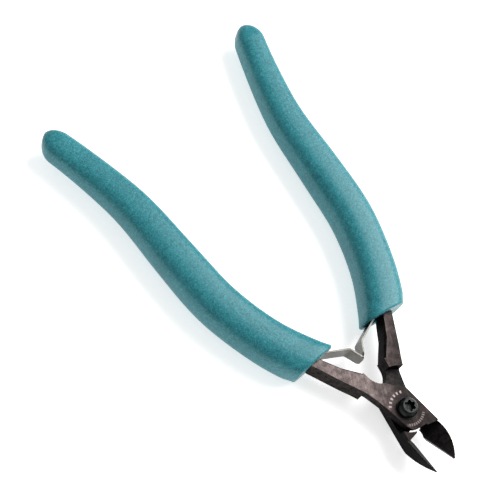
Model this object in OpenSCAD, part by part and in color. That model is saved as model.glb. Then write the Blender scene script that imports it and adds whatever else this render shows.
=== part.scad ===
// Diagonal cutting pliers: two forged levers in a screwed lap joint, two leaf springs, two cushion grips.
// The origin is on the pivot axis, in the rear face of the head. +Y points to the jaw tips, +Z to the
// head of the pivot screw, and +X to the handle of the front lever. The tool is drawn open and at rest.
// Each lever is drawn in the closed tool and then turned out about the pivot by open_angle.

/* [Head] */
// Thickness of the levers
head_t = 6.3; // [6.1:0.1:6.5]
// Angle of each lever from its closed position in the open tool
open_angle = 10; // [8:1:10]
// Gap between the two half laps
lap_gap = 0.06; // [0.04:0.02:0.12]
// Radius of the cut that clears the other lever's lap on the jaw side
jaw_relief_r = 6.9; // [6.7:0.1:7.1]
// Radius of the cut that clears the other lever's lap on the tang side
tang_relief_r = 12.7; // [12.5:0.1:12.9]
// Radius of the round end of each lap
lap_end_r = 6.4; // [6.2:0.1:6.5]
// Half the width of the head beside the pivot
head_half_w = 4.3; // [4.2:0.1:4.4]

/* [Jaws] */
// Distance from the pivot to the jaw tips
tip_y = 19.1; // [18.8:0.1:19.4]
// Height of the jaw tips over the middle of the head
tip_rise = 0.4; // [0.2:0.1:0.6]
// Angle of the cutting edges to the plane of the head
edge_slope = 22; // [20:1:24]
// Angle of the broad front bevel
bevel_angle = 52; // [50:1:54]
// Angle of the narrow ground strip along the cutting edge
grind_angle = 70; // [68:1:72]
// Height at which the broad bevel leaves the ground strip
grind_h = 0.35; // [0.25:0.05:0.45]
// Radius of the outer side of a jaw
jaw_side_r = 18.5; // [18:0.5:19]
// Gap left between the cutting edges when closed
edge_gap = 0.06; // [0.04:0.02:0.1]

/* [Pivot screw] */
// Radius of the screw's smooth shoulder
shoulder_r = 2.25; // [2.2:0.05:2.3]
// Running clearance round the shoulder
run_gap = 0.03; // [0.02:0.01:0.05]
// Radius of the threaded end
thread_r = 1.75; // [1.6:0.05:1.8]
// Radius of the head where it sits on the washer
screw_head_r = 2.95; // [2.9:0.05:3]
// Radius of the flat top of the head
screw_top_r = 2.05; // [2:0.05:2.1]
// Height of the head over the washer
screw_head_h = 2.1; // [2:0.1:2.2]
// Distance across the lobes of the driver socket
socket_w = 3.3; // [3.28:0.02:3.34]
// Depth of the driver socket
socket_depth = 1.6; // [1.4:0.1:1.8]
// Thickness of the washer under the head
washer_t = 0.35; // [0.3:0.05:0.4]

/* [Leaf springs] */
// Thickness of the spring sheet
leaf_t = 0.5; // [0.4:0.05:0.5]
// Width of the spring strip
leaf_w = 5.6; // [5.2:0.1:5.8]
// Length of the foot that is riveted to the tang
leaf_foot = 6.5; // [6:0.5:7]
// Radius of the rivet
rivet_r = 0.9; // [0.8:0.1:1]
// Radius of the rivet's head
rivet_head_r = 1.6; // [1.5:0.1:1.7]
// Height of the rivet's head
rivet_head_h = 0.5; // [0.4:0.1:0.6]
// Depth that the rivet reaches into the tang
rivet_reach = 2.2; // [2:0.1:2.3]

/* [Grips] */
// Width of the grip at its mouth
mouth_w = 13; // [12.6:0.1:13.4]
// Width of the grip along its middle
grip_w = 12.5; // [12:0.1:13]
// Width of the grip near its tail
tail_w = 8.8; // [8.4:0.1:9.2]
// Thickness of the grip as a share of its width
grip_flat = 0.95; // [0.9:0.01:1]
// Thickness of the tang inside the grip
tang_t = 4.6; // [4.4:0.1:4.8]
// Width of the tang inside the grip
tang_w = 3.2; // [3:0.1:3.4]

/* [Hidden] */

mid_z = head_t / 2;                    // the plane where the two laps meet
big = 60;                              // larger than any part of the head
round_fn = 96;                         // a true circle in the exact model
steel_front = [0.42, 0.36, 0.35];      // blackened steel, stoned on its faces
steel_dark = [0.2, 0.2, 0.2];          // blackened steel
spring_steel = [0.78, 0.78, 0.76];     // bright spring steel
foam = [0.3, 0.54, 0.58];              // teal cushion foam

// Lever outline in the closed tool, for the lever whose handle is at +X and whose jaw is at -X.
tang_outer = [[10.88, -27.18], [7.5, -17.1], [6.3, -14], [5.2, -10.6], [4.7, -7.2]];
tang_inner = [
    [-4.6, -4], [-2.4, -7], [-1, -9.2], [0.2, -10.1], [1, -11.4], [1.4, -12.8], [1.4, -14.4],
    [1.4, -15.3], [2.3, -16.9], [4.9, -21], [7.5, -26.95]
];
tang_facets = [[1.9, -15.2], [5.4, -20.7], [7.95, -27]];   // line where the flat face meets the facet
facet_angle = 53;                      // slope of the facets along the tang's inner side
facet_reach = 5;                       // more than the depth of a facet
throat = [[-0.6, 6.6], [-0.9, 7.2], [-0.6, 8.4]];
edge_start_y = 9.3;                    // where the cutting edge begins
runout_y = 6.9;                        // where the bevel runs out at the throat
runout_turn = 21;                      // angle of the run-out line to the X axis
runout_lean = 26;                      // lean of the run-out wall from upright
jaw_root_y = 7.5;                      // where the outer side of the jaw starts to curve
blunt_tip_w = 0.3;                     // width of the flat at the very tip

// Handle line in the closed tool, from the mouth of the grip to its tail.
handle_line = [[8.95, -27.1], [13.6, -40], [16, -57.5], [14.6, -75.5], [12.7, -94], [13.8, -112], [15.85, -126.5]];
tang_end_share = 0.9;                  // how far along the handle line the tang reaches
tang_flat = [[7.64, -26], [12, -38]];  // straight inner side of the tang, where the spring is riveted on
tang_neck = [10.3, -26];               // where the thinner tang starts inside the full thickness
mouth_angle = -4;                      // angle of the mouth plane to the X axis
mouth_blend = 0.16;                    // share of the grip over which the rings turn square to it
tail_round = 0.072;                    // share of the grip taken by its blunt nose
nose_lean = [0.7, 1.5];                // how far the point of the nose lies to the inner side and the front
nose_power = 1.55;                     // 2 is a round nose, less is more pointed
nose_flat = 0.02;                      // keeps the very end of the nose from closing to a point
nose_rings = 8;
grip_rings = 34;
grip_sides = 24;
squareness = 2.3;                      // 2 is an ellipse, more is squarer

// Leaf springs in the closed tool: each bends out of the mouth, then towards the jaws.
leaf_start = 3.72;                     // distance of the leaf's foot from the start of the flat
front_leaf_bends = [[-1.4, -22.8], [-2.6, -18.0]];
rear_leaf_bends = [[-2.0, -22.7], [-3.6, -18.55]];
foot_dir = unit(tang_flat[1] - tang_flat[0]);
foot_side = [foot_dir[1], -foot_dir[0]];   // out of the tang, towards the other handle
leaf_root = tang_flat[0] + leaf_start * foot_dir;
foot_end = leaf_root + leaf_foot * foot_dir;
pocket_play = 0.2;                     // room left between the spring and the foam
pocket_exit = [[0, -24.9], [0, -20], [8, -20]];   // end of the pocket, in front of the mouth

// Pivot screw: the dome passes through the rim of the head and the edge of its flat top.
screw_rim_h = 0.5;
screw_end_z = 0.2;                     // how far the screw's end is sunk in the rear face
screw_end_chamfer = 0.3;
dome_z = (screw_head_h * screw_head_h - screw_rim_h * screw_rim_h
    - screw_head_r * screw_head_r + screw_top_r * screw_top_r) / (2 * (screw_head_h - screw_rim_h));
dome_r = norm([screw_head_r, screw_rim_h - dome_z]);
washer_rim = 0.25;                     // how far the washer stands out past the head
lobe_share = 0.13;                     // radius of a socket lobe as a share of the socket's width

function unit(v) = v / norm(v);
function left_of(v) = [-v[1], v[0]];
function arc(r, a0, a1, n) = [for (i = [0:n]) r * [cos(a0 + (a1 - a0) * i / n), sin(a0 + (a1 - a0) * i / n)]];

// A smooth curve through a list of points, with t from 0 to 1 along it.
function point_at(p, i) = p[max(0, min(len(p) - 1, i))];
function spline_part(a, b, c, d, t) =
    0.5 * (2 * b + (c - a) * t + (2 * a - 5 * b + 4 * c - d) * t * t + (3 * b - a - 3 * c + d) * t * t * t);
function on_line(p, t) =
    let (s = t * (len(p) - 1), i = min(floor(s), len(p) - 2))
    spline_part(point_at(p, i - 1), point_at(p, i), point_at(p, i + 1), point_at(p, i + 2), s - i);
function heading(p, t) = unit(on_line(p, min(1, t + 0.01)) - on_line(p, max(0, t - 0.01)));

// Both sides of a strip of even thickness along a bent path.
function turn_at(p, i) =
    let (a = i == 0 ? p[1] - p[0] : p[i] - p[i - 1], b = i == len(p) - 1 ? a : p[i + 1] - p[i])
    unit(unit(left_of(a)) + unit(left_of(b))) / sqrt((1 + unit(a) * unit(b)) / 2);
function strip(p, t) = concat(
    [for (i = [0:len(p) - 1]) p[i] + turn_at(p, i) * t / 2],
    [for (i = [len(p) - 1:-1:0]) p[i] - turn_at(p, i) * t / 2]
);

// ---- Levers ----

module lever_plan() {
    intersection() {
        polygon(concat(
            tang_outer,
            [[head_half_w, -3.6], [head_half_w - 0.15, 3.2], [head_half_w - 0.55, 4.6]],
            arc(lap_end_r, 57, 80, 4),
            throat,
            [[-edge_gap / 2, edge_start_y], [-edge_gap / 2, tip_y], [-blunt_tip_w, tip_y]],
            [[-6, tip_y - 2], [-6, jaw_root_y], [-head_half_w, jaw_root_y]],
            tang_inner
        ));
        union() {
            translate([jaw_side_r - head_half_w, jaw_root_y]) circle(r = jaw_side_r, $fn = 360);
            translate([-big, jaw_root_y - big]) square([2 * big, big]);
        }
    }
}

// The part of the plan that is cut away from a lever's other half, so the second lap fits in.
module lap_relief_plan() {
    circle(r = jaw_relief_r, $fn = round_fn);
    intersection() {
        circle(r = tang_relief_r, $fn = round_fn);
        translate([-big, -big]) square([2 * big, big]);
    }
}

// Everything above a plane through the cutting edge, or through a line at a height over it.
module above_edge(height, angle) {
    translate([0, tip_y, mid_z + tip_rise + height]) rotate([edge_slope, 0, 0]) rotate([0, angle, 0])
        translate([-big / 2, -big / 2, 0]) cube(big);
}

// Grinding cuts of a jaw on the -X side: back relief, broad bevel with its steep run-out, ground strip.
module jaw_cuts() {
    translate([0, tip_y, mid_z + tip_rise]) rotate([edge_slope, 0, 0]) {
        translate([-big / 2, -big / 2, -big]) cube(big);
    }
    intersection() {
        union() {
            above_edge(0, grind_angle);
            above_edge(grind_h, bevel_angle);
        }
        translate([0, runout_y, head_t]) rotate([0, 0, -runout_turn]) rotate([-runout_lean, 0, 0])
            translate([-big / 2, 0, -big / 2]) cube(big);
    }
}

// The two tangs run on into the grips, thinner than the head so the grip closes round them.
module hidden_tang() {
    steps = 16;
    along = [for (i = [0:steps]) tang_end_share * i / steps];
    outer = [for (t = along) on_line(handle_line, t) + tang_w / 2 * left_of(heading(handle_line, t))];
    inner = [for (i = [steps:-1:3]) on_line(handle_line, along[i]) - tang_w / 2 * left_of(heading(handle_line, along[i]))];
    translate([0, 0, mid_z - tang_t / 2]) linear_extrude(tang_t)
        polygon(concat([tang_neck], outer, inner, [tang_flat[1], tang_flat[0]]));
}

module lever_blank() {
    translate([0, 0, mid_z + lap_gap / 2]) linear_extrude(mid_z - lap_gap / 2) lever_plan();
    linear_extrude(mid_z + lap_gap / 2) difference() {
        lever_plan();
        lap_relief_plan();
    }
    hidden_tang();
}

// The long facets on the inner side of a tang, cut along the edge from a to b of the front face.
module facet_cut(a, b) {
    d = b - a;
    translate([a[0], a[1], head_t]) rotate([0, 0, atan2(d[1], d[0])]) rotate([facet_angle, 0, 0])
        translate([0, -facet_reach, 0]) cube([norm(d), facet_reach, facet_reach]);
}

module tang_facet_cuts() {
    for (i = [0:len(tang_facets) - 2]) {
        facet_cut(tang_facets[i], tang_facets[i + 1]);
        translate([0, 0, head_t]) mirror([0, 0, 1]) facet_cut(tang_facets[i], tang_facets[i + 1]);
    }
}

module turned_over() {
    translate([0, 0, head_t]) rotate([0, 180, 0]) children();
}

module rivet_hole() {
    at_rivet() translate([0, 0, -rivet_reach]) cylinder(r = rivet_r, h = rivet_reach + leaf_t + 1, $fn = round_fn);
}

module front_lever() {
    color(steel_front) rotate([0, 0, open_angle]) difference() {
        lever_blank();
        jaw_cuts();
        tang_facet_cuts();
        rivet_hole();
        cylinder(r = shoulder_r + run_gap, h = 3 * head_t, center = true, $fn = round_fn);
    }
}

module rear_lever() {
    color(steel_front) rotate([0, 0, -open_angle]) difference() {
        turned_over() lever_blank();
        mirror([1, 0, 0]) {
            jaw_cuts();
            tang_facet_cuts();
            rivet_hole();
        }
        cylinder(r = thread_r, h = 3 * head_t, center = true, $fn = round_fn);
    }
}

// ---- Pivot screw ----

module socket() {
    lobe_r = socket_w * lobe_share;
    ring_r = socket_w / 2 - lobe_r;
    linear_extrude(socket_depth + 1) {
        circle(r = ring_r, $fn = round_fn);
        for (i = [0:5]) rotate(60 * i) translate([ring_r, 0]) circle(r = lobe_r, $fn = 32);
    }
}

module screw_head() {
    intersection() {
        cylinder(r = screw_head_r, h = screw_head_h, $fn = round_fn);
        translate([0, 0, dome_z]) sphere(r = dome_r, $fn = round_fn);
    }
}

module pivot_screw() {
    seat_z = head_t + washer_t;
    shoulder_z = mid_z - lap_gap / 2;
    inside_head = seat_z + washer_t / 2;
    color(steel_dark) difference() {
        union() {
            rotate_extrude($fn = round_fn) polygon([
                [0, screw_end_z], [thread_r - screw_end_chamfer, screw_end_z],
                [thread_r, screw_end_z + screw_end_chamfer], [thread_r, shoulder_z],
                [shoulder_r, shoulder_z], [shoulder_r, inside_head], [0, inside_head]
            ]);
            translate([0, 0, seat_z]) screw_head();
        }
        translate([0, 0, seat_z + screw_head_h - socket_depth]) socket();
    }
}

module screw_washer() {
    color(steel_dark) translate([0, 0, head_t]) linear_extrude(washer_t) difference() {
        circle(r = screw_head_r + washer_rim, $fn = round_fn);
        circle(r = shoulder_r + run_gap, $fn = round_fn);
    }
}

// ---- Leaf springs and their rivets ----

// Places a child on the tang's inner face at the middle of the leaf's foot, +Z pointing out of the tang.
module at_rivet() {
    p = (leaf_root + foot_end) / 2;
    translate([p[0], p[1], mid_z]) rotate([0, 0, atan2(-foot_dir[0], foot_dir[1]) + 180]) rotate([0, -90, 0]) children();
}

module leaf(bends) {
    side = foot_side * leaf_t / 2;
    path = concat([foot_end + side, leaf_root + side], bends);
    difference() {
        translate([0, 0, mid_z - leaf_w / 2]) linear_extrude(leaf_w) polygon(strip(path, leaf_t));
        rivet_hole();
    }
}

module front_leaf_spring() {
    color(spring_steel) rotate([0, 0, open_angle]) leaf(front_leaf_bends);
}

module rear_leaf_spring() {
    color(spring_steel) mirror([1, 0, 0]) rotate([0, 0, open_angle]) leaf(rear_leaf_bends);
}

module rivet() {
    at_rivet() {
        translate([0, 0, -rivet_reach]) cylinder(r = rivet_r, h = rivet_reach + leaf_t, $fn = round_fn);
        translate([0, 0, leaf_t]) cylinder(r = rivet_head_r, h = rivet_head_h, $fn = round_fn);
    }
}

module front_spring_rivet() {
    color(spring_steel) rotate([0, 0, open_angle]) rivet();
}

module rear_spring_rivet() {
    color(spring_steel) mirror([1, 0, 0]) rotate([0, 0, open_angle]) rivet();
}

// ---- Grips ----

function smooth(x) = let (c = max(0, min(1, x))) c * c * (3 - 2 * c);
function mix(a, b, s) = a + (b - a) * s;
function grip_width(t) = t < 0.25 ? mix(mouth_w, grip_w, smooth(t / 0.25)) : mix(grip_w, tail_w, smooth((t - 0.35) / 0.65));
// The last rings close in on a round tail.
function nose_at(t) = max(0, (t - 1 + tail_round) / tail_round);
function tail_share(t) = pow(max(nose_flat, 1 - pow(nose_at(t), nose_power)), 1 / nose_power);
function ring_place(i) =
    let (body = grip_rings - nose_rings)
    i <= body ? (1 - tail_round) * i / body : 1 - tail_round + tail_round * sin(90 * (i - body) / nose_rings);
function signed_pow(v, e) = sign(v) * pow(abs(v), e);

function grip_ring(t) =
    let (
        d = heading(handle_line, t),
        closing = 1 - tail_share(t),
        c = on_line(handle_line, t) - left_of(d) * nose_lean[0] * closing,
        middle = mid_z + nose_lean[1] * closing,
        square_on = atan2(d[0], -d[1]),
        turn = mix(mouth_angle, square_on, smooth(t / mouth_blend)),
        half = grip_width(t) / 2 * tail_share(t),
        wide = half / cos(square_on - turn)
    )
    [for (k = [0:grip_sides - 1])
        let (
            a = 360 * k / grip_sides,
            u = wide * signed_pow(cos(a), 2 / squareness),
            v = half * grip_flat * signed_pow(sin(a), 2 / squareness)
        )
        [c[0] + u * cos(turn), c[1] + u * sin(turn), middle + v]
    ];

module grip_body() {
    rings = [for (i = [0:grip_rings]) grip_ring(ring_place(i))];
    points = [for (ring = rings) for (q = ring) q];
    n = grip_sides;
    sides = [for (i = [0:grip_rings - 1]) for (k = [0:n - 1])
        [i * n + k, i * n + (k + 1) % n, (i + 1) * n + (k + 1) % n, (i + 1) * n + k]];
    mouth = [[for (k = [n - 1:-1:0]) k]];
    tail = [[for (k = [0:n - 1]) grip_rings * n + k]];
    polyhedron(points, concat(sides, mouth, tail), convexity = 4);
}

// Room inside the grip's mouth for the leaf's foot, the rivet head and the way out of the leaf.
module leaf_pocket() {
    pocket_w = leaf_w + 2 * pocket_play;
    floor_side = foot_side * (leaf_t + rivet_head_h + pocket_play);
    tang_side = -foot_side * pocket_play;
    pocket_end = foot_end + foot_dir;
    translate([0, 0, mid_z - pocket_w / 2]) linear_extrude(pocket_w) polygon(concat(
        [tang_flat[0] + tang_side, pocket_end + tang_side, pocket_end + floor_side, leaf_root + foot_dir + floor_side],
        pocket_exit
    ));
}

module grip() {
    difference() {
        grip_body();
        hidden_tang();
        leaf_pocket();
    }
}

module front_grip() {
    color(foam) rotate([0, 0, open_angle]) grip();
}

module rear_grip() {
    color(foam) mirror([1, 0, 0]) rotate([0, 0, open_angle]) grip();
}

front_lever();
rear_lever();
pivot_screw();
screw_washer();
front_leaf_spring();
rear_leaf_spring();
front_spring_rivet();
rear_spring_rivet();
front_grip();
rear_grip();
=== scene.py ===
# %% [markdown]
# # Small diagonal cutting pliers
#
# Two forged levers cross in a lap joint, a screw with a six-lobe socket holds them, two thin leaf springs
# push the handles apart, and two long foam grips cover the tangs. The exact shapes of the steel parts come
# from the imported CAD model. This script gives each of them its finish, and builds the parts that CAD can't
# do well: the soft grips and the leaf springs.

import math

import bmesh
import bpy
from mathutils import Matrix, Vector


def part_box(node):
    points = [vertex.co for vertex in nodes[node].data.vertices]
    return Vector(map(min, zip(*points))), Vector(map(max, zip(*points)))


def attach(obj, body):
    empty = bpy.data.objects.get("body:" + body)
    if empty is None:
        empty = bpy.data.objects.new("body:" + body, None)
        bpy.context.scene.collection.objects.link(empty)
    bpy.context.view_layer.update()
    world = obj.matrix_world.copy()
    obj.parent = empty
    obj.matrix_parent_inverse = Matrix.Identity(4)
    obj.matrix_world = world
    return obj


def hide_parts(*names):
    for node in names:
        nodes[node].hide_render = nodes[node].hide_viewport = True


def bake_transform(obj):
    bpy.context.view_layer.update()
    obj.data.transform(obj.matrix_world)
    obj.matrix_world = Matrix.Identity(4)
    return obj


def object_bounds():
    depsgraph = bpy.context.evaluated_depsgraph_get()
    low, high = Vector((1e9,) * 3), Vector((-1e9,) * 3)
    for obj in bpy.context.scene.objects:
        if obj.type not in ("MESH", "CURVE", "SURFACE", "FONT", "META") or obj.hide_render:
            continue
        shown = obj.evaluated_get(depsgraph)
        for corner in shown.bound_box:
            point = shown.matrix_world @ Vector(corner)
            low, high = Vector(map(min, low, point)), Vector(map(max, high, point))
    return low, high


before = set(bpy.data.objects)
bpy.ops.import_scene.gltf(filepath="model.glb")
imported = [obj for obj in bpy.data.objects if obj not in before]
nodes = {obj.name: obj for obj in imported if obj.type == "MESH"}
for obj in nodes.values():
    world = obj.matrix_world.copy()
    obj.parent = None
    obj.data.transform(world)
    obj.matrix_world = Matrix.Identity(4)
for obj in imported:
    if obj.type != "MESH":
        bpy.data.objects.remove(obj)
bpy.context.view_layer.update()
mm = 0.001
print("CAD nodes:", ", ".join(sorted(nodes)))

# %% [markdown]
# ## A small kit for finishes
#
# Every finish below is one Principled shader fed by patterns that are measured in metres on the part itself
# (Object coordinates). A few short helpers keep each recipe readable: they add a node, set its inputs, and
# link one node's output to the next. Hand-placed nodes would do the same, but they hide the recipe.


# %% Helpers that build a finish
class Finish:
    """One material, with short names for the nodes that its recipe uses."""

    def __init__(self, name):
        self.material = bpy.data.materials.new(name)
        self.material.use_nodes = True
        self.tree = self.material.node_tree
        self.shader = self.tree.nodes["Principled BSDF"]
        where = self.tree.nodes.new("ShaderNodeTexCoord")
        self.place = where.outputs["Object"]
        self.normal = where.outputs["Normal"]

    def set(self, node, **inputs):
        for key, value in inputs.items():
            by_number = key[0] == "i" and key[1:].isdigit()
            socket = node.inputs[int(key[1:]) if by_number else key.replace("_", " ")]
            if isinstance(value, bpy.types.NodeSocket):
                self.tree.links.new(value, socket)
            else:
                socket.default_value = value
        return node

    def add(self, kind, settings=None, **inputs):
        node = self.tree.nodes.new("ShaderNode" + kind)
        for key, value in (settings or {}).items():
            setattr(node, key, value)
        return self.set(node, **inputs)

    def math(self, operation, a, b=0.0, clamp=False):
        return self.add("Math", {"operation": operation, "use_clamp": clamp}, i0=a, i1=b).outputs[0]

    def times(self, a, b):
        return self.math("MULTIPLY", a, b)

    def parts(self, vector):
        """The X, Y and Z parts of a vector."""
        return tuple(self.add("SeparateXYZ", Vector=vector).outputs)

    def from_axis(self, x, y):
        """Distance from the pivot axis."""
        return self.math("SQRT", self.math("ADD", self.times(x, x), self.times(y, y)))

    def soft_step(self, value, start, end):
        """0 at start and 1 at end, with a smooth rise between them."""
        return self.add("MapRange", {"interpolation_type": "SMOOTHSTEP"}, i0=value, i1=start, i2=end).outputs[0]

    def window(self, value, low, high, soft):
        """1 where value lies between low and high, with soft edges."""
        rise = self.soft_step(value, low - soft, low + soft)
        fall = self.soft_step(value, high + soft, high - soft)
        return self.times(rise, fall)

    def noise(self, size, detail=3.0, roughness=0.5, place=None):
        """Cloudy pattern whose blotches are about size metres across."""
        where = place or self.place
        return self.add("TexNoise", Vector=where, Scale=1 / size, Detail=detail, Roughness=roughness).outputs[0]

    def stretched(self, factors, turn=0.0):
        """Object coordinates turned about Z and then scaled, for streaks."""
        turned = self.add("Mapping", Vector=self.place, Rotation=(0, 0, turn)).outputs[0]
        return self.add("Mapping", Vector=turned, Scale=factors).outputs[0]

    def ramp(self, value, *stops):
        """A colour from each (position, colour) stop."""
        node = self.add("ValToRGB", Fac=value)
        line = node.color_ramp.elements
        while len(line) < len(stops):
            line.new(1.0)
        for element, (position, colour) in zip(line, stops):
            element.position = position
            element.color = (*colour, 1)
        return node.outputs[0]

    def mix(self, share, a, b, blend="MIX"):
        node = self.add("Mix", {"data_type": "RGBA", "blend_type": blend}, i0=share)
        for index, value in ((6, a), (7, b)):
            if isinstance(value, bpy.types.NodeSocket):
                self.tree.links.new(value, node.inputs[index])
            else:
                node.inputs[index].default_value = (*value, 1)
        return node.outputs[2]

    def grey(self, value):
        """A grey of the given brightness."""
        return self.add("CombineXYZ", X=value, Y=value, Z=value).outputs[0]

    def dimmed(self, colour, share):
        """A colour times a brightness."""
        return self.mix(1.0, colour, self.grey(share), blend="MULTIPLY")

    def scale_to(self, value, low, high):
        """Stretches a 0..1 pattern to low..high."""
        return self.add("MapRange", i0=value, i3=low, i4=high).outputs[0]

    def bump(self, height, depth, strength=1.0, under=None):
        """A bump whose full height stands for depth metres."""
        node = self.add("Bump", Height=height, Distance=depth, Strength=strength)
        if under is not None:
            self.tree.links.new(under, node.inputs["Normal"])
        return node.outputs[0]


def paint(piece, finish):
    """Gives a piece one finish in every material slot."""
    piece.data.materials.clear()
    piece.data.materials.append(finish.material)


# %% [markdown]
# ## Blackened steel of the levers
#
# The levers are forged, blackened, and then stoned flat on their two broad faces. So the flat faces show a
# warm, brownish grey with cloudy patches and faint lines from the stone, and everything that slopes or
# stands upright keeps the dark scale. The surface normal tells the two apart: its Z part is 1 on a flat
# face. Only the two outer faces were stoned, so the faces inside the lap stay black. The steel is made
# paler from the jaws towards the handles, and the black scale at the front jaw paler still. The cutting
# edges are ground, in a narrow strip whose normal is known from the CAD model. The strip's grey holds
# painted light and shade: lighter on the front lever, darker on the rear one.

# %% Which parts of the levers are stoned
FAR = 1.0  # metres, beyond any point of the tool: a window that is open on one side
STONED_ABOVE = 6.1 * mm
STONED_BELOW = 0.2 * mm
PALER_LENGTH = 14 * mm
JAW_START = 9 * mm

steel = Finish("blackened_steel")
facing_x, facing_y, facing_z = steel.parts(steel.normal)
at_x, at_y, at_z = steel.parts(steel.place)
level_face = steel.window(steel.math("ABSOLUTE", facing_z), 0.985, 2.0, 0.01)
front_face = steel.window(at_z, STONED_ABOVE, FAR, 0.05 * mm)
rear_face = steel.window(at_z, -FAR, STONED_BELOW, 0.05 * mm)
flatness = steel.times(level_face, steel.math("MAXIMUM", front_face, rear_face))
towards_handles = steel.math("SUBTRACT", steel.times(at_x, 0.78), steel.times(at_y, 0.62))
# The stoned faces go from darker at the jaws to paler towards the handles.
paler_to_handles = steel.soft_step(towards_handles, 0.0, PALER_LENGTH)
print("levers: stoned above", STONED_ABOVE / mm, "mm and below", STONED_BELOW / mm, "mm")

# %% The finish of the levers
patches = steel.noise(2.2 * mm, detail=6, roughness=0.65)
grain = steel.noise(0.30 * mm, detail=4, roughness=0.7)
stone_lines = steel.noise(0.5 * mm, detail=4, place=steel.stretched((1, 0.12, 1), math.radians(24)))
cloudy = steel.mix(0.22, steel.mix(0.35, patches, grain), stone_lines)
stoned = steel.ramp(
    cloudy,
    (0.36, (0.020, 0.016, 0.016)),
    (0.46, (0.046, 0.036, 0.035)),
    (0.55, (0.088, 0.069, 0.066)),
    (0.66, (0.175, 0.142, 0.134)),
)
stoned = steel.dimmed(stoned, steel.scale_to(paler_to_handles, 0.21, 1.45))
scale_black = steel.ramp(
    steel.noise(1.2 * mm, detail=5, roughness=0.6),
    (0.35, (0.0125, 0.0110, 0.0108)),
    (0.7, (0.046, 0.040, 0.039)),
)
# The black scale also goes paler towards the handles, and paler still at the front jaw.
front_bevel = steel.times(steel.window(at_y, JAW_START, FAR, 1 * mm), steel.window(at_x, -FAR, 0.0, 0.5 * mm))
scale_brightness = steel.math("ADD", steel.scale_to(paler_to_handles, 0.34, 1.3), steel.times(front_bevel, 0.7))
scale_black = steel.dimmed(scale_black, scale_brightness)
sideways = steel.window(steel.math("ABSOLUTE", facing_x), 0.925, 0.97, 0.01)
ground_strip = steel.times(sideways, steel.window(facing_z, 0.25, 0.38, 0.02))
ground_strip = steel.times(ground_strip, steel.window(at_y, JAW_START, FAR, 0.5 * mm))
# The strip's grey holds painted light and shade: lighter on the front lever, darker on the rear one.
strip_grey_lit_and_shaded = steel.scale_to(steel.window(facing_x, 0.0, 2.0, 0.1), 0.06, 0.24)
colour = steel.mix(flatness, scale_black, stoned)
colour = steel.mix(ground_strip, colour, steel.grey(strip_grey_lit_and_shaded))
print("levers: stoned outer faces, black flanks, ground strip")

# %% [markdown]
# ## The marking round the screw
#
# Tools of this kind carry an etched marking in two arcs round the screw. A plain row of ticks stands here
# for it: bold ones on the handle side and fine ones on the jaw side. The shader works out each point's
# distance and angle from the pivot axis, and paints pale ticks in a narrow ring of the front face only.

# %% Etched ticks on the front lever
TICK_PALE = (0.30, 0.25, 0.24)

away = steel.from_axis(at_x, at_y)
bearing = steel.math("ARCTAN2", at_y, at_x)
on_front = steel.window(at_z, 6.2 * mm, FAR, 0.03 * mm)


def tick_arc(low_r, high_r, low_deg, high_deg, ticks_per_turn, threshold):
    """Ticks between two radii and two angles. A lower threshold makes each tick wider."""
    teeth = steel.math("SINE", steel.times(bearing, float(ticks_per_turn)))
    teeth = steel.window(teeth, threshold, 2.0, 0.12)
    ring = steel.window(away, low_r, high_r, 0.04 * mm)
    arc = steel.window(bearing, math.radians(low_deg), math.radians(high_deg), 0.02)
    return steel.times(teeth, steel.times(ring, arc))


bold = tick_arc(low_r=4.55 * mm, high_r=5.35 * mm, low_deg=-112, high_deg=-32, ticks_per_turn=26, threshold=0.2)
fine = tick_arc(low_r=4.5 * mm, high_r=5.25 * mm, low_deg=52, high_deg=134, ticks_per_turn=44, threshold=-0.2)
etched = steel.math("MAXIMUM", steel.times(bold, 0.6), steel.times(fine, 0.28))
etched = steel.times(etched, steel.times(on_front, flatness))
colour = steel.mix(etched, colour, TICK_PALE)
steel.set(steel.shader, Base_Color=colour, Metallic=0.85, Specular_Tint=(0.35, 0.35, 0.35, 1))
steel.set(steel.shader, Roughness=steel.scale_to(cloudy, 0.34, 0.58))
height = steel.math("ADD", steel.times(grain, 0.5), steel.times(stone_lines, 0.5))
height = steel.math("SUBTRACT", height, steel.times(etched, 0.8))
steel.set(steel.shader, Normal=steel.bump(height, 0.03 * mm, 0.6))
print("etched ticks: 2 arcs")

# %% [markdown]
# ## Softened edges on the steel
#
# CAD edges are perfectly sharp, real ones never are: a tumbled forging has edges of about a tenth of a
# millimetre that catch the light as a thin line. The CAD mesh itself stays as it is. Four live modifiers do
# the work: Weld joins its loose triangles, Decimate makes each flat face one polygon, Bevel rounds the
# edges, and Weighted Normal keeps the broad faces flat to the eye.


# %% Weld, decimate, bevel and weigh the normals of a CAD node
def soft_edges(piece, width, sharper_than):
    bevel = piece.modifiers.new("soft edges", "BEVEL")
    bevel.width = width
    bevel.segments = 2
    bevel.limit_method = "ANGLE"
    bevel.angle_limit = math.radians(sharper_than)


def soften(piece, width, sharper_than=28):
    """Rounds the edges that turn by more than an angle in degrees."""
    piece.data.shade_smooth()
    weld = piece.modifiers.new("join triangles", "WELD")
    weld.merge_threshold = 0.002 * mm
    whole = piece.modifiers.new("whole faces", "DECIMATE")
    whole.decimate_type = "DISSOLVE"
    whole.angle_limit = math.radians(0.5)
    soft_edges(piece, width, sharper_than)
    normals = piece.modifiers.new("flat faces stay flat", "WEIGHTED_NORMAL")
    normals.keep_sharp = False
    normals.weight = 80


for name in ("front_lever", "rear_lever"):
    soften(nodes[name], 0.12 * mm)
    paint(nodes[name], steel)
    print(name, "softened by 0.12 mm")

# %% [markdown]
# ## Pivot screw, washer and rivets
#
# The screw and its washer are blued: a thin black oxide with a faint green cast, smoother than the forged
# levers, so it shows soft highlights on the dome. The turned surface has very fine rings round the axis,
# made by a wave pattern of the distance from the axis. The rivets are plain bright steel, under the grips.

# %% The blued finish
RING_SPACING = 0.09 * mm
HEAD_TOP_ABOVE = 8.5 * mm

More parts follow.
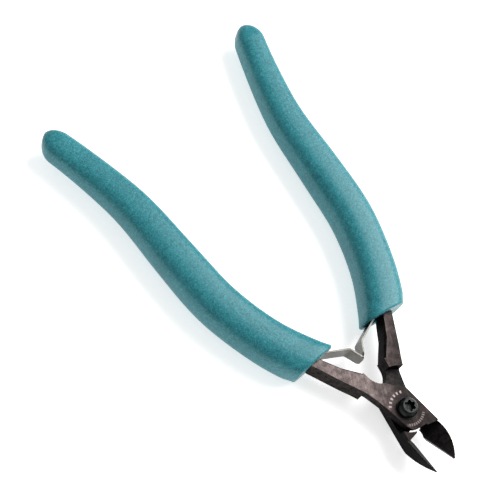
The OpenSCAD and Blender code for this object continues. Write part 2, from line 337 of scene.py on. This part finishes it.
blued = Finish("screw_steel")
blued_x, blued_y, blued_z = blued.parts(blued.place)
turning = blued.math("SINE", blued.times(blued.from_axis(blued_x, blued_y), 2 * math.pi / RING_SPACING))
cloud = blued.noise(0.9 * mm, detail=4)
blue_black = blued.ramp(cloud, (0.35, (0.008, 0.009, 0.0088)), (0.7, (0.020, 0.022, 0.021)))
facing_up = blued.window(blued.parts(blued.normal)[2], 0.97, 2.0, 0.02)
# The flat top ring of the head is painted lighter: a painted highlight.
top_painted_highlight = blued.times(facing_up, blued.window(blued_z, HEAD_TOP_ABOVE, FAR, 0.1 * mm))
blue_black = blued.mix(blued.times(top_painted_highlight, 0.7), blue_black, (0.020, 0.0205, 0.0205))
blued.set(blued.shader, Base_Color=blue_black, Metallic=0.9)
blued.set(blued.shader, Roughness=blued.scale_to(cloud, 0.28, 0.46))
pitted = blued.bump(blued.noise(0.25 * mm), 0.01 * mm, 0.5)
blued.set(blued.shader, Normal=blued.bump(turning, 0.004 * mm, 0.35, under=pitted))
for name, width in (("pivot_screw", 0.08 * mm), ("screw_washer", 0.05 * mm)):
    soften(nodes[name], width, sharper_than=35)
    paint(nodes[name], blued)
    print(name, "blued")

# %% [markdown]
# ## Spring steel
#
# The springs are cut from cold-rolled strip: bright, with fine lines along the rolling direction and a few
# darker stains. The noise is squeezed in the strip's width (Z), so the lines run along its length.

# %% The finish of the springs and rivets
bright = Finish("spring_steel")
rolled = bright.noise(0.12 * mm, detail=3, place=bright.stretched((0.08, 0.08, 1)))
stains = bright.noise(1.5 * mm, detail=4)
tone = bright.mix(0.5, rolled, stains)
strip_steel = bright.ramp(
    tone,
    (0.3, (0.068, 0.064, 0.058)),
    (0.55, (0.130, 0.124, 0.114)),
    (0.75, (0.24, 0.231, 0.215)),
)
bright.set(bright.shader, Base_Color=strip_steel, Metallic=1.0)
bright.set(bright.shader, Roughness=bright.scale_to(stains, 0.28, 0.46))
bright.set(bright.shader, Normal=bright.bump(rolled, 0.006 * mm, 0.6))
for name in ("front_spring_rivet", "rear_spring_rivet"):
    soften(nodes[name], 0.1 * mm, sharper_than=35)
    paint(nodes[name], bright)
    print(name, "bright")

# %% [markdown]
# ## Working on a copy of a CAD node
#
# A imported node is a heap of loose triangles. A copy of it can be merged and cleaned: remove_doubles joins
# the triangles, and dissolve_limit turns each flat region into one face. The copy is then ready for the
# operators that shape the new piece, or for measuring.


# %% Helpers for clean copies and finished pieces
def clean_copy(name, whole_faces=True):
    """A merged bmesh of a CAD node, with its flat regions made whole if wanted."""
    shape = bmesh.new()
    shape.from_mesh(nodes[name].data)
    bmesh.ops.remove_doubles(shape, verts=shape.verts, dist=0.001 * mm)
    if whole_faces:
        bmesh.ops.dissolve_limit(shape, angle_limit=math.radians(0.5), verts=shape.verts, edges=shape.edges)
    bmesh.ops.recalc_face_normals(shape, faces=shape.faces)
    return shape


def cut_across(shape, point, normal):
    """Cuts a shape where it crosses a plane, and gives the points of the cut."""
    everything = shape.verts[:] + shape.edges[:] + shape.faces[:]
    found = bmesh.ops.bisect_plane(shape, geom=everything, plane_co=point, plane_no=normal)
    return [g.co.copy() for g in found["geom_cut"] if isinstance(g, bmesh.types.BMVert)]


def middle_and_half(values):
    return (max(values) + min(values)) / 2, (max(values) - min(values)) / 2


def finished(shape, name, finish, smooth=True):
    """Turns a bmesh into a piece with its finish."""
    bmesh.ops.recalc_face_normals(shape, faces=shape.faces)
    mesh = bpy.data.meshes.new(name)
    shape.to_mesh(mesh)
    shape.free()
    piece = bpy.data.objects.new(name, mesh)
    bpy.context.scene.collection.objects.link(piece)
    if smooth:
        mesh.shade_smooth()
    paint(piece, finish)
    print(name, len(mesh.vertices), "vertices")
    return piece


# %% [markdown]
# ## Leaf springs
#
# Each spring is a strip bent twice, with rounded corners at its free end. The CAD strip has sharp bends
# and corners, so a clean copy is beveled: the bend lines become small arcs, and the two end corners are
# rounded. Then the strip is cut across every 0.6 mm. In the last three degrees of closing the two strips
# cut about 0.2 mm into each other.


# %% Build both springs
BEND_RADIUS = 0.45 * mm
CORNER_RADIUS = 1.3 * mm
SLICE = 0.6 * mm


def leaf_spring(node):
    shape = clean_copy(node)
    low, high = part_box(node)
    width = high.z - low.z
    bends = [
        edge for edge in shape.edges
        if abs(edge.calc_length() - width) < 0.02 * mm
        and math.radians(10) < edge.calc_face_angle(0) < math.radians(75)
    ]
    bmesh.ops.bevel(shape, geom=bends, offset=BEND_RADIUS, segments=4, affect="EDGES", profile=0.5, material=-1)
    corners = [
        edge for edge in shape.edges
        if edge.calc_length() < 0.7 * mm
        and abs(edge.verts[0].co.z - edge.verts[1].co.z) < 0.01 * mm
        and min(v.co.y for v in edge.verts) > high.y - 0.6 * mm
        and edge.calc_face_angle(0) > math.radians(80)
    ]
    bmesh.ops.bevel(
        shape, geom=corners, offset=CORNER_RADIUS, segments=6, affect="EDGES", profile=0.5, material=-1
    )
    y = low.y
    while y < high.y:
        cut_across(shape, (0, y, 0), (0, 1, 0))
        y += SLICE
    bmesh.ops.dissolve_degenerate(shape, dist=0.06 * mm, edges=shape.edges)
    points = [v.co for v in shape.verts]
    tip = max(points, key=lambda p: p.y).copy()
    piece = finished(shape, node + "_strip", bright, smooth=False)
    soft_edges(piece, 0.05 * mm, sharper_than=50)
    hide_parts(node)
    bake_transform(piece)


leaf_spring("front_leaf_spring")
leaf_spring("rear_leaf_spring")

# %% [markdown]
# ## Foam grips: the finish
#
# The grips are dyed foam rubber with a closed skin: teal, finely mottled where the cells show through the
# skin, with a soft sheen. Three sizes of noise make the colour: broad shading, blotches of about a
# millimetre, and cells of a quarter of that. The same cells, much flatter, are the bump.

# %% The foam finish
foam = Finish("cushion_foam")
broad = foam.noise(9 * mm, detail=2)
blotch = foam.noise(0.9 * mm, detail=4, roughness=0.6)
cells = foam.noise(0.32 * mm, detail=4, roughness=0.7)
mottled = foam.math("ADD", foam.math("MULTIPLY", blotch, 0.25), foam.math("MULTIPLY", cells, 0.75))
mottled = foam.math("ADD", mottled, foam.scale_to(broad, -0.04, 0.04))
teal = foam.ramp(
    mottled,
    (0.36, (0.006, 0.092, 0.114)),
    (0.47, (0.015, 0.162, 0.192)),
    (0.55, (0.028, 0.232, 0.268)),
    (0.66, (0.075, 0.350, 0.385)),
)
foam.set(foam.shader, Base_Color=teal, Roughness=foam.scale_to(cells, 0.30, 0.42))
foam.shader.inputs["Specular IOR Level"].default_value = 0.32
foam.set(foam.shader, Normal=foam.bump(cells, 0.05 * mm, 0.5, under=foam.bump(blotch, 0.10 * mm, 0.5)))
print("foam finish ready")

# %% [markdown]
# ## Foam grips: measuring the CAD grip
#
# A grip is a bent sleeve whose section changes along it: wide at the mouth, narrower in the middle and
# slim at the tail. The new piece has to follow the CAD grip closely, so the script walks down a copy of it
# and slices it every few millimetres. Each slice gives the middle and the half width and half thickness
# there. The planes start in the slanted plane of the mouth and turn square to the grip over the first
# part, as the rings of the CAD model do.


# %% Slice the grip from its mouth to its tail
STEP = 3 * mm
TURN_LENGTH = 15 * mm
NOSE_LENGTH = 9 * mm
NOSE_RINGS = 14


def smooth_share(x):
    x = min(1.0, max(0.0, x))
    return x * x * (3 - 2 * x)


def slice_at(shape, point, normal):
    """Middle, across, half width and half thickness of the grip in a plane."""
    cut = shape.copy()
    ring = cut_across(cut, point, normal)
    cut.free()
    across = Vector((-normal.y, normal.x, 0)).normalized()
    middle_u, half_w = middle_and_half([(p - point).dot(across) for p in ring])
    middle_z, half_t = middle_and_half([p.z for p in ring])
    middle = point + across * middle_u
    middle.z = middle_z
    return middle, across, half_w, half_t


def walk_down(node):
    """Stations of a grip (middle, across, half width, half thickness), its mouth's direction, and its tail."""
    shape = clean_copy(node)
    mouth_face = max(shape.faces, key=lambda f: f.normal.y * f.calc_area())
    out = mouth_face.normal.copy()
    points = [v.co for v in mouth_face.verts]
    middle = Vector([middle_and_half([p[i] for p in points])[0] for i in range(3)])
    shape.free()
    shape = clean_copy(node, whole_faces=False)
    heading, travelled = -out, 0.02 * mm
    here = middle + heading * travelled
    stations = []
    left = 2 * NOSE_LENGTH
    while left > NOSE_LENGTH:
        turned = smooth_share(travelled / TURN_LENGTH)
        normal = (out * (turned - 1) + heading * turned).normalized()
        here, across, half_w, half_t = slice_at(shape, here, normal)
        stations.append((here, across, half_w, half_t))
        heading = (here - stations[max(0, len(stations) - 3)][0]) if len(stations) > 1 else heading
        heading = Vector((heading.x, heading.y, 0)).normalized()
        left = max((v.co - here).dot(heading) for v in shape.verts)
        travelled += STEP
        here = Vector((here.x, here.y, middle.z)) + heading * STEP
    last = stations[-1][0]
    for k in range(1, NOSE_RINGS):
        reach = left * math.sin(math.radians(90 * k / NOSE_RINGS))
        stations.append(slice_at(shape, last + heading * reach, heading))
    end = max(shape.verts, key=lambda v: (v.co - last).dot(heading)).co
    tip = stations[-1][0] + heading * (end - stations[-1][0]).dot(heading)
    shape.free()
    print(node, len(stations), "stations,", round((travelled + left) / mm, 1), "mm long")
    return stations, out, tip


grip_stations = {node: walk_down(node) for node in ("front_grip", "rear_grip")}

# %% [markdown]
# ## Foam grips: building the sleeve
#
# The sleeve starts as one circle of edges. Each extrude of that ring makes the next band of faces, and the
# new ring's points are moved onto their station: a rounded box section, between an ellipse and a
# rectangle. The order of the rings is the way a finger would trace the part: out of the hole round the
# tang, over the rounded lip, down the sleeve, and in to a point at the tail.


# %% Points of a ring, and the hole round the tang
SIDES = 56
SQUARENESS = 2.85
LIP = 0.7 * mm
LIP_STEPS = 5
NEAR_MOUTH = 9 * mm
HOLE_RINGS = (  # depth behind the mouth, gap to the steel, squareness
    (5 * mm, 0.18 * mm, 7),
    (0.8 * mm, 0.18 * mm, 7),
    (0.3 * mm, 0.26 * mm, 6),
    (0, 0.6 * mm, 5),
)


def rounded_box(index, half_w, half_t, power):
    """Point of a rounded-box section for one of the ring's sides."""
    a = 2 * math.pi * index / SIDES
    u = half_w * math.copysign(abs(math.cos(a)) ** (2 / power), math.cos(a))
    v = half_t * math.copysign(abs(math.sin(a)) ** (2 / power), math.sin(a))
    return u, v


def hole_section(node, lever, here, across, normal):
    """Middle and half size, across and in Z, of the opening round the tang and the spring."""
    us, zs = [], []
    for part in (lever, node.replace("grip", "leaf_spring")):
        shape = clean_copy(part)
        near = [p for p in cut_across(shape, here, normal) if (p - here).length < NEAR_MOUTH]
        us += [(p - here).dot(across) for p in near]
        zs += [p.z for p in near]
        shape.free()
    return *middle_and_half(us), *middle_and_half(zs)


# %% Loft the rings into a grip
def next_ring(shape, ring):
    """Extrudes a ring of edges, and gives the new ring's points in the same order."""
    held = set(ring)
    touching = dict.fromkeys(e for v in ring for e in v.link_edges)  # each edge once, always in this order
    edges = [e for e in touching if e.verts[0] in held and e.verts[1] in held]
    made = bmesh.ops.extrude_edge_only(shape, edges=edges)["geom"]
    paired = {}
    for vert in (g for g in made if isinstance(g, bmesh.types.BMVert)):
        paired[next(e.other_vert(vert) for e in vert.link_edges if e.other_vert(vert) in held)] = vert
    return [paired[v] for v in ring]


def grip_sleeve(node, lever, body):
    stations, out, tip = grip_stations[node]
    here, across, half_w, half_t = stations[0]
    hole_u, hole_w, hole_z, hole_t = hole_section(node, lever, here - out * 0.3 * mm, across, out)
    hole = here + across * hole_u
    hole.z = hole_z
    rings = [(hole - out * back, across, hole_w + gap, hole_t + gap, power) for back, gap, power in HOLE_RINGS]
    rings.append((here, across, half_w - LIP, half_t - LIP, SQUARENESS))
    for k in range(1, LIP_STEPS + 1):
        a = math.radians(90 * k / LIP_STEPS)
        back, inset = LIP * (1 - math.cos(a)), LIP * (1 - math.sin(a))
        rings.append((here - out * back, across, half_w - inset, half_t - inset, SQUARENESS))
    rings += [(*station, SQUARENESS) for station in stations[1:]]
    shape = bmesh.new()
    bmesh.ops.create_circle(shape, segments=SIDES, radius=mm, cap_ends=False)
    ring = sorted(shape.verts, key=lambda v: math.atan2(v.co.y, v.co.x) % (2 * math.pi))
    for count, (centre, sideways, w, t, power) in enumerate(rings):
        ring = next_ring(shape, ring) if count else ring
        for index, vert in enumerate(ring):
            u, v = rounded_box(index, w, t, power)
            vert.co = centre + sideways * u + Vector((0, 0, v))
    tail = next_ring(shape, ring)
    bmesh.ops.pointmerge(shape, verts=tail, merge_co=tip)
    bmesh.ops.holes_fill(shape, edges=[e for e in shape.edges if e.is_boundary], sides=SIDES)
    piece = finished(shape, node + "_foam", foam)
    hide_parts(node)
    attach(piece, body)


grip_sleeve("front_grip", "front_lever", "front_half")
grip_sleeve("rear_grip", "rear_lever", "rear_half")

# %% [markdown]
# ## Floor, light and camera
#
# The tool lies on a white light table under a large soft lamp that stands above it and to its side, with
# weak light from all round. A small, distant lamp would draw hard shadows, and a fully white room would
# take the depth out of the dark steel. The table glows a little, which keeps the soft shadow pale. The
# camera looks down on the tool from beyond its jaws.

# %% Floor
FLOOR_SIZE = 1.5
WHITE = (1, 1, 1, 1)

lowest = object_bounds()[0].z
sheet = bmesh.new()
just_below = Matrix.Translation((0, 0, lowest - 0.02 * mm))
bmesh.ops.create_grid(sheet, x_segments=1, y_segments=1, size=FLOOR_SIZE, matrix=just_below)
floor_mesh = bpy.data.meshes.new("floor")
sheet.to_mesh(floor_mesh)
sheet.free()
floor = bpy.data.objects.new("floor", floor_mesh)
bpy.context.scene.collection.objects.link(floor)
paper = Finish("white_paper")
paper_white = paper.ramp(paper.noise(0.05), (0.3, (0.90, 0.90, 0.90)), (0.7, (0.92, 0.92, 0.92)))
paper.set(paper.shader, Base_Color=paper_white, Roughness=0.9)
paper.shader.inputs["Specular IOR Level"].default_value = 0.1
paper.set(paper.shader, Emission_Color=WHITE, Emission_Strength=0.6)
paint(floor, paper)
print("floor at", round(lowest / mm, 2), "mm")

# %% Camera
target = Vector((7.19 * mm, -62.31 * mm, 3.15 * mm))
camera_distance = 426.91 * mm
azimuth, elevation, roll = math.radians(111.73), math.radians(61.17), math.radians(33.24)
back = Vector((
    math.sin(azimuth) * math.cos(elevation),
    -math.cos(azimuth) * math.cos(elevation),
    math.sin(elevation),
))
level = Vector((math.cos(azimuth), math.sin(azimuth), 0))
above = back.cross(level)
right = math.cos(roll) * level + math.sin(roll) * above
up = back.cross(right)
camera_data = bpy.data.cameras.new("camera")
camera_data.lens = 108
camera_data.sensor_width = 36
camera = bpy.data.objects.new("camera", camera_data)
bpy.context.scene.collection.objects.link(camera)
turned = Matrix((right, up, back)).transposed().to_4x4()
camera.matrix_world = Matrix.Translation(target + back * camera_distance) @ turned
bpy.context.scene.camera = camera
print("camera", [round(c / mm, 1) for c in camera.location])


# %% Lights
def soft_light(name, direction, distance, size, power):
    """A square lamp at a distance from the target, shining at it."""
    data = bpy.data.lights.new(name, "AREA")
    data.energy = power
    data.size = size
    lamp = bpy.data.objects.new(name, data)
    bpy.context.scene.collection.objects.link(lamp)
    direction = direction.normalized()
    lamp.location = target + direction * distance
    lamp.rotation_euler = direction.to_track_quat("Z", "Y").to_euler()


soft_light("key", direction=1.3 * right + 0.9 * up + 0.55 * back, distance=0.95, size=0.75, power=14)
world = bpy.data.worlds.new("studio")
world.use_nodes = True
background = world.node_tree.nodes["Background"]
background.inputs["Color"].default_value = WHITE
background.inputs["Strength"].default_value = 0.4
bpy.context.scene.world = world
bpy.context.scene.view_settings.view_transform = "Standard"
